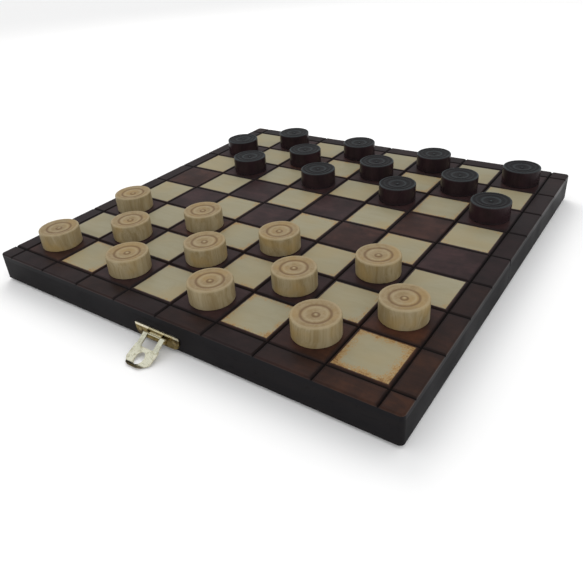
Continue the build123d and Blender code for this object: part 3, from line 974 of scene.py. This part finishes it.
@dataclass(frozen=True)
class PaintedShading:
    """Painted light and shade on a man: over a half it is a painted highlight, and under a half painted
    shade.

    Each groove has its own strength, from the rim in. The painted shade is darkest just outside a groove
    and the painted highlight palest just inside its ridge, both counted in runs of a ridge. The pit's painted
    shade is darkest at a share of its radius. The poles are the middle of the foot and the middle of the
    face.
    """

    plain: float = 0.5
    grooves: tuple[float, ...] = (0.12, 0.44)
    groove_shift: float = 0.3
    groove_width: float = 0.75 * MM
    ridge_share: float = 0.6
    ridge_shift: float = 1.9
    ridge_width: float = 0.8 * MM
    pit: float = 0.45
    pit_place: float = 0.8
    nub: float = 0.5
    middle_width: float = 0.5 * MM
    face_depth: float = 2.5 * MM
    rim: float = 0.3
    rim_width: float = 0.9 * MM
    foot: float = 0.15
    foot_width: float = 0.3 * MM
    poles: tuple[float, float] = (0.5, 0.6)

    def face(self, man: "TurnedMan", r: np.ndarray) -> np.ndarray:
        """The painted light and shade of the face at radius r, as a sum of bells round each groove, ridge,
        pit and nub.

        Args:
            man: the man's sizes.
            r: radii.

        Returns:
            The tones.
        """
        tone = np.full_like(r, self.plain)
        for groove, weight in zip(man.grooves, self.grooves):
            dark_place = r - groove - self.groove_shift * man.ridge_run
            pale_place = r - groove + self.ridge_shift * man.ridge_run
            tone -= weight * bell(dark_place, self.groove_width)
            tone += self.ridge_share * weight * bell(pale_place, self.ridge_width)
        # Painted shade in the pit, and a painted highlight on the nub.
        tone -= self.pit * bell(r - self.pit_place * man.pit_radius, self.middle_width)
        tone += self.nub * bell(r, self.middle_width)
        return tone

    def outline(self, man: "TurnedMan", r: np.ndarray, z: np.ndarray) -> np.ndarray:
        """The painted light and shade along the whole outline: the face's on top, with bells round the rim
        and the foot.

        Args:
            man: the man's sizes.
            r: radii.
            z: heights.

        Returns:
            The tones.
        """
        tone = np.where(z > man.height - self.face_depth, self.face(man, r), self.plain)
        on_rim = z > man.height - man.rim_ease
        # A painted highlight round the rim, and paler round the foot's edge.
        tone += self.rim * bell(r - man.radius + man.rim_ease, self.rim_width) * on_rim
        tone += self.foot * bell(z - man.foot_ease * 0.5, self.foot_width)
        return tone


@dataclass(frozen=True)
class TurnedMan:
    """The lathe profile of one kind of man, in metres."""

    radius: float = 13.0 * MM
    height: float = 12.0 * MM
    rim_ease: float = 0.9 * MM
    foot_ease: float = 0.6 * MM
    grooves: tuple[float, ...] = (10.6 * MM, 7.4 * MM)
    groove_depth: float = 0.5 * MM
    ridge_run: float = 0.8 * MM
    ridge_drop: float = 0.2 * MM
    pit_radius: float = 2.1 * MM
    pit_depth: float = 1.1 * MM
    nub_drop: float = 0.5 * MM
    softness: float = 0.65 * MM
    tool_mark: float = 0.015 * MM
    tool_pitch: float = 0.5 * MM
    painted_shading: PaintedShading = PaintedShading()

    # How finely it is divided. The foot's one inner ring lies at a share of the radius.
    foot_ring: float = 0.5
    segments: int = 96
    face_rings: int = 80
    ease_rings: int = 7
    side_rings: int = 8
    window_points: int = 9

    def turned_points(self) -> tuple[np.ndarray, np.ndarray]:
        """The corners of the face from its middle out: nub, pit, and each groove with its ridge.

        Returns:
            Radii and heights.
        """
        points = [(0.0, self.height - self.nub_drop), (self.pit_radius, self.height - self.pit_depth)]
        for number in reversed(range(len(self.grooves))):
            ridge = self.height - (number + 1) * self.ridge_drop
            before = self.height - number * self.ridge_drop
            points.append((self.grooves[number] - self.ridge_run, ridge))
            points.append((self.grooves[number], before - self.groove_depth))
        points.append((self.radius - self.rim_ease, self.height))
        radii, heights = zip(*points)
        return np.array(radii), np.array(heights)

    def face_height(self, r: np.ndarray) -> np.ndarray:
        """Height of the turned face at radius r.

        Straight runs between the corners are averaged over a short window, which rounds the corners
        as a tool and a coat of lacquer do, and the tool leaves fine waves: a sine of the radius.

        Args:
            r: radii.

        Returns:
            Heights above the foot.
        """
        radii, heights = self.turned_points()
        window = np.linspace(-self.softness, self.softness, self.window_points)
        rounded = np.mean([np.interp(np.abs(r + shift), radii, heights) for shift in window], axis=0)
        return rounded - self.tool_mark * (1.0 + np.sin(r / self.tool_pitch * 2 * math.pi))

    def profile(self) -> tuple[np.ndarray, np.ndarray]:
        """The outline: across the foot, a quarter circle, up the side, another, and in over the face.

        Returns:
            Radii and heights.
        """
        quarter = np.linspace(0.0, math.pi / 2, self.ease_rings)
        foot_r = self.radius - self.foot_ease + self.foot_ease * np.sin(quarter)
        foot_z = self.foot_ease - self.foot_ease * np.cos(quarter)
        side_z = np.linspace(self.foot_ease, self.height - self.rim_ease, self.side_rings)[1:-1]
        rim_r = self.radius - self.rim_ease + self.rim_ease * np.cos(quarter)
        rim_z = self.height - self.rim_ease + self.rim_ease * np.sin(quarter)
        flat_r = np.linspace(self.radius - self.rim_ease, 0.0, self.face_rings)[1:-1]
        side_r = np.full_like(side_z, self.radius)
        r = np.concatenate([[self.radius * self.foot_ring], foot_r, side_r, rim_r, flat_r])
        z = np.concatenate([[0.0], foot_z, side_z, rim_z, self.face_height(flat_r)])
        return r, z

    def build(self, node: str, finish: bpy.types.Material, turn: float, seed: float) -> bpy.types.Object:
        """Turns the profile about the middle of a man's own node: x is r cos(angle) and y r sin(angle).

        Args:
            node: the CAD node that it stands for.
            finish: its material.
            turn: how far its grain is turned about its axis.
            seed: where in the wood it was cut.

        Returns:
            The man's object.
        """
        low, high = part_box(node)
        middle = np.array([(low[0] + high[0]) / 2, (low[1] + high[1]) / 2, low[2]])
        r, z = self.profile()
        angle = np.linspace(0.0, 2 * math.pi, self.segments, endpoint=False)
        upright = np.repeat(z[:, None], self.segments, axis=1)
        rings = np.stack([np.outer(r, np.cos(angle)), np.outer(r, np.sin(angle)), upright], axis=-1)
        poles = np.array([[0.0, 0.0, 0.0], [0.0, 0.0, float(self.face_height(np.zeros(1))[0])]])
        points = np.vstack([rings.reshape(-1, 3), poles])
        piece = Surface(points + middle, *self.faces(len(r))).make(node + "_turned", finish)
        # Each point's painted light and shade, kept in the ring attribute.
        tones = np.repeat(self.painted_shading.outline(self, r, z), self.segments)
        self.store(piece, "turned", "FLOAT_VECTOR", "vector", self.lathe_place(points, turn, seed))
        self.store(piece, "ring", "FLOAT", "value", np.concatenate([tones, self.painted_shading.poles]))
        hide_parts(node)
        return piece

    def faces(self, rings: int) -> tuple[np.ndarray, np.ndarray]:
        """Quads between the rings, and the fans that close the two poles.

        Args:
            rings: how many rings the profile has.

        Returns:
            The quads, and the triangles.
        """
        ring, step = np.meshgrid(np.arange(rings - 1), np.arange(self.segments), indexing="ij")
        following = (step + 1) % self.segments
        base = ring * self.segments
        above = base + self.segments
        quads = np.stack([base + step, base + following, above + following, above + step], axis=-1)
        index = np.arange(self.segments)
        after = (index + 1) % self.segments
        pole = np.full_like(index, rings * self.segments)
        last = (rings - 1) * self.segments
        foot = np.stack([pole, after, index], axis=-1)
        face = np.stack([pole + 1, last + index, last + after], axis=-1)
        return quads.reshape(-1, 4), np.stack([foot, face], axis=1).reshape(-1, 3)

    @staticmethod
    def lathe_place(points: np.ndarray, turn: float, seed: float) -> np.ndarray:
        """Where in the wood each point was cut: turned about the axis, then moved by the seed.

        Args:
            points: the points about the man's own axis.
            turn: the angle.
            seed: how far along x and z, and back along y.

        Returns:
            The places.
        """
        x, y, z = points.T
        grain_x = x * math.cos(turn) - y * math.sin(turn) + seed
        grain_y = x * math.sin(turn) + y * math.cos(turn) - seed
        return np.stack([grain_x, grain_y, z + seed], axis=-1)

    @staticmethod
    def store(piece: bpy.types.Object, name: str, kind: str, member: str, values: np.ndarray) -> None:
        """Keeps an array on the mesh's points.

        Args:
            piece: the object.
            name: the attribute's name.
            kind: its data type.
            member: what its items call their value.
            values: the array, a row for each point.
        """
        attribute = piece.data.attributes.new(name, kind, "POINT")
        attribute.data.foreach_set(member, values.astype(np.float32).ravel())


@dataclass(frozen=True)
class Men:
    """The twelve men of one colour, cut here and there along a plank of so many metres."""

    colour: str
    man: TurnedMan
    finish: TurnedWood
    seed: int
    plank: float = 3.0

    def build(self, shared: SharedEffects) -> int:
        """Turns each man and lets it ride on its own body.

        Args:
            shared: the shared node groups.

        Returns:
            How many were made.
        """
        material = self.finish.make(shared)
        random = np.random.default_rng(self.seed)
        names = sorted(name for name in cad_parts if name.startswith(self.colour + "_checker"))
        for name in names:
            turn, seed = random.uniform(0, 2 * math.pi), random.uniform(0, self.plank)
            piece = self.man.build(name, material, turn, seed)
            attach(piece, name)
            log.info("turned %s", piece.name)
        return len(names)


def put_on(node: str, material: bpy.types.Material) -> None:
    """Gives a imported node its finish.

    Args:
        node: the node's name.
        material: the finish.
    """
    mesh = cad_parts[node].data
    mesh.materials.clear()
    mesh.materials.append(material)
    log.info("dressed %s in %s", node, material.name)


@dataclass(frozen=True)
class Case:
    """The two half boxes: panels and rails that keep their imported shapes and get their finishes."""

    board: BoardPlan
    top: PlayingSurface = PlayingSurface("playing_surface")
    long_rails: CaseWood = CaseWood("case_wood_long", grain=Axis.X)
    cross_rails: CaseWood = CaseWood("case_wood_cross", grain=Axis.Y)

    def dress(self, shared: SharedEffects) -> None:
        """Gives every wooden node its finish.

        Args:
            shared: the shared node groups.
        """
        top = self.top.make(shared, self.board)
        long_way = self.long_rails.make(shared)
        cross_way = self.cross_rails.make(shared)
        for half in ("front", "rear"):
            put_on(f"{half}_playing_panel", top)
            for rail in ("outer", "centre"):
                put_on(f"{half}_{rail}_rail", long_way)
            for rail in ("left", "right"):
                put_on(f"{half}_{rail}_rail", cross_way)


@dataclass(frozen=True)
class Hardware:
    """Hinges, latch and nails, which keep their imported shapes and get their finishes."""

    brass: SheetMetal
    plate: PlateSheet
    hasp: HaspSheet
    wire: SheetMetal

    @staticmethod
    def read() -> "Hardware":
        """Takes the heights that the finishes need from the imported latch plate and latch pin.

        Returns:
            The hardware with its finishes.
        """
        _, plate_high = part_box("latch_plate")
        pin_low, pin_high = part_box("latch_pin")
        return Hardware(
            brass=SheetMetal("plated_brass"),
            plate=PlateSheet(
                "latch_plate_brass",
                bright=paint(134, 116, 70),
                dull=paint(58, 45, 23),
                top=plate_high[2],
            ),
            hasp=HaspSheet(
                "bright_hasp",
                bright=paint(230, 226, 204),
                dull=paint(180, 176, 148),
                roughness=(0.18, 0.36),
                axis=((pin_low[1] + pin_high[1]) / 2, (pin_low[2] + pin_high[2]) / 2),
            ),
            wire=SheetMetal(
                "nail_wire",
                bright=paint(172, 154, 112),
                dull=paint(90, 74, 46),
                roughness=(0.25, 0.45),
            ),
        )

    def dress(self, shared: SharedEffects) -> None:
        """Gives every metal node its finish.

        Args:
            shared: the shared node groups.
        """
        finishes = {"latch_plate": self.plate.make(shared), "latch_hasp": self.hasp.make(shared)}
        brass = self.brass.make(shared)
        wire = self.wire.make(shared)
        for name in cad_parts:
            if name in finishes:
                put_on(name, finishes[name])
            elif name.endswith(("nails", "pin")):
                put_on(name, wire)
            elif name.endswith(("leaf", "plate")):
                put_on(name, brass)


def placed(
    right: Sequence[float], up: Sequence[float], back: Sequence[float], place: Sequence[float]
) -> Matrix:
    """The world matrix of a camera or lamp.

    Args:
        right: its own x axis.
        up: its own y axis.
        back: its own z axis, away from what it faces.
        place: where it is.

    Returns:
        The matrix, with these four as its columns.
    """
    matrix = np.eye(4)
    matrix[:3, 0], matrix[:3, 1], matrix[:3, 2], matrix[:3, 3] = right, up, back, place
    return Matrix(matrix.tolist())


@dataclass(frozen=True)
class SoftLamp:
    """A large soft lamp that faces the middle of the board, in metres and watts."""

    name: str
    place: tuple[float, float, float]
    size: tuple[float, float]
    power: float
    tint: tuple[float, float, float]

    def hang(self) -> None:
        """Puts the lamp into the scene, where mirror finishes don't see it."""
        data = bpy.data.lights.new(self.name, "AREA")
        data.shape = "RECTANGLE"
        data.size, data.size_y = self.size
        data.energy = self.power
        data.color = self.tint
        lamp = bpy.data.objects.new(self.name, data)
        lamp.visible_glossy = False
        back = np.array(self.place) / np.linalg.norm(self.place)
        right = np.cross([0.0, 0.0, 1.0], back)
        right /= np.linalg.norm(right)
        bpy.context.scene.collection.objects.link(lamp)
        lamp.matrix_world = placed(right, np.cross(back, right), back, self.place)


@dataclass(frozen=True)
class Studio:
    """The camera, in degrees, metres and a lens in millimetres, and the floor and soft light."""

    azimuth: float = 37.141
    elevation: float = 29.812
    roll: float = -4.491
    place: tuple[float, float, float] = (0.21434, -0.30413, 0.19904)
    lens: float = 36.666
    shift: tuple[float, float] = (0.0197, -0.054)
    clip_start: float = 0.01
    floor_size: float = 8.0
    floor_paper: Colour = paint(253, 253, 253)
    floor_roughness: float = 0.95
    world_strength: float = 0.93
    mirror_strength: tuple[float, float] = (0.3, 0.75)
    mirror_rise: tuple[float, float] = (0.28, 0.62)
    mirror_tint: Colour = (0.92, 0.97, 1.0, 1.0)
    lamps: tuple[SoftLamp, ...] = (
        SoftLamp("key", (-0.55, 0.55, 0.75), (0.7, 0.7), 3.6, (1.0, 0.98, 0.95)),
        SoftLamp("fill", (0.8, -0.7, 0.7), (0.9, 0.9), 1.5, (0.95, 0.97, 1.0)),
    )

    def build(self) -> None:
        """Sets up everything that isn't the object."""
        self.add_camera()
        self.add_floor()
        self.add_world()
        for lamp in self.lamps:
            lamp.hang()
        bpy.context.scene.view_settings.view_transform = "Standard"

    def add_camera(self) -> None:
        """Looks along the direction that azimuth and elevation give, with its axes turned by the roll."""
        data = bpy.data.cameras.new("camera")
        data.lens = self.lens
        data.shift_x, data.shift_y = self.shift
        data.clip_start = self.clip_start
        camera = bpy.data.objects.new("camera", data)
        azimuth, elevation, roll = map(math.radians, (self.azimuth, self.elevation, self.roll))
        level = math.cos(elevation)
        back = np.array([math.sin(azimuth) * level, -math.cos(azimuth) * level, math.sin(elevation)])
        right = np.array([math.cos(azimuth), math.sin(azimuth), 0.0])
        up = np.cross(back, right)
        turned_right = math.cos(roll) * right + math.sin(roll) * up
        turned_up = -math.sin(roll) * right + math.cos(roll) * up
        bpy.context.scene.collection.objects.link(camera)
        camera.matrix_world = placed(turned_right, turned_up, back, self.place)
        bpy.context.scene.camera = camera

    def add_floor(self) -> None:
        """A pale sheet that runs well past the view."""
        half = self.floor_size / 2
        points = np.array([[-half, -half, 0.0], [half, -half, 0.0], [half, half, 0.0], [-half, half, 0.0]])
        material = bpy.data.materials.new("floor_paper")
        material.use_nodes = True
        graph = Graph(material.node_tree)
        paper = {"Base Color": self.floor_paper, "Roughness": self.floor_roughness}
        shader = graph.add("BsdfPrincipled", paper)
        output = graph.add("OutputMaterial")
        graph.feed(output.inputs["Surface"], shader.outputs[0])
        floor = Surface(points, np.array([[0, 1, 2, 3]])).make("floor", material)

    def add_world(self) -> None:
        """An even pale sky: full white to the camera, and to mirror finishes darker towards the ground."""
        world = bpy.data.worlds.new("studio")
        world.use_nodes = True
        graph = Graph(world.node_tree)
        path = graph.add("LightPath").outputs
        rise = graph.split(graph.add("TexCoord").outputs["Object"])[2]
        sky = graph.ramp(rise, Step(*self.mirror_rise, *self.mirror_strength))
        mirrored = graph.ease(path["Is Glossy Ray"], self.world_strength, sky)
        strength = graph.calculate("MAXIMUM", mirrored, path["Is Camera Ray"])
        tint = graph.blend(path["Is Glossy Ray"], WHITE, self.mirror_tint)
        back = graph.add("Background", {"Color": tint, "Strength": strength})
        output = graph.add("OutputWorld")
        graph.feed(output.inputs["Surface"], back.outputs[0])
        bpy.context.scene.world = world


def main() -> None:
    """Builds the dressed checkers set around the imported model."""
    logging.basicConfig(level=logging.INFO)
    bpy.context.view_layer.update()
    board = BoardPlan.read()
    Studio().build()
    shared = SharedEffects.build(board)
    Case(board).dress(shared)
    Hardware.read().dress(shared)
    light = Men("light", TurnedMan(), TurnedWood("light_turned_wood"), seed=7)
    dark_wood = TurnedWood(
        "dark_turned_wood",
        sheen=0.08,
        roughness=(0.2, 0.3),
        body=paint(43, 32, 34),
        streak=paint(30, 23, 24),
        blush=paint(50, 33, 36),
        face=paint(19, 22, 23),
        face_step=Step(0.5, 0.95, 0.0, 0.7),
        # Pale blue-grey painted highlight on the ridges, rim and nub, and near-black painted shade in the
        # grooves and pit.
        wear_and_highlight=paint(82, 92, 94),
        groove=paint(12, 11, 12),
    )
    # Crisper rings, with stronger painted shade and highlight at the grooves.
    sharp_man = TurnedMan(softness=0.35 * MM, painted_shading=PaintedShading(grooves=(0.3, 0.35)))
    dark = Men("dark", sharp_man, dark_wood, seed=11)
    for men in (light, dark):
        log.info("%s men: %d", men.colour, men.build(shared))


if __name__ == "__main__":
    main()
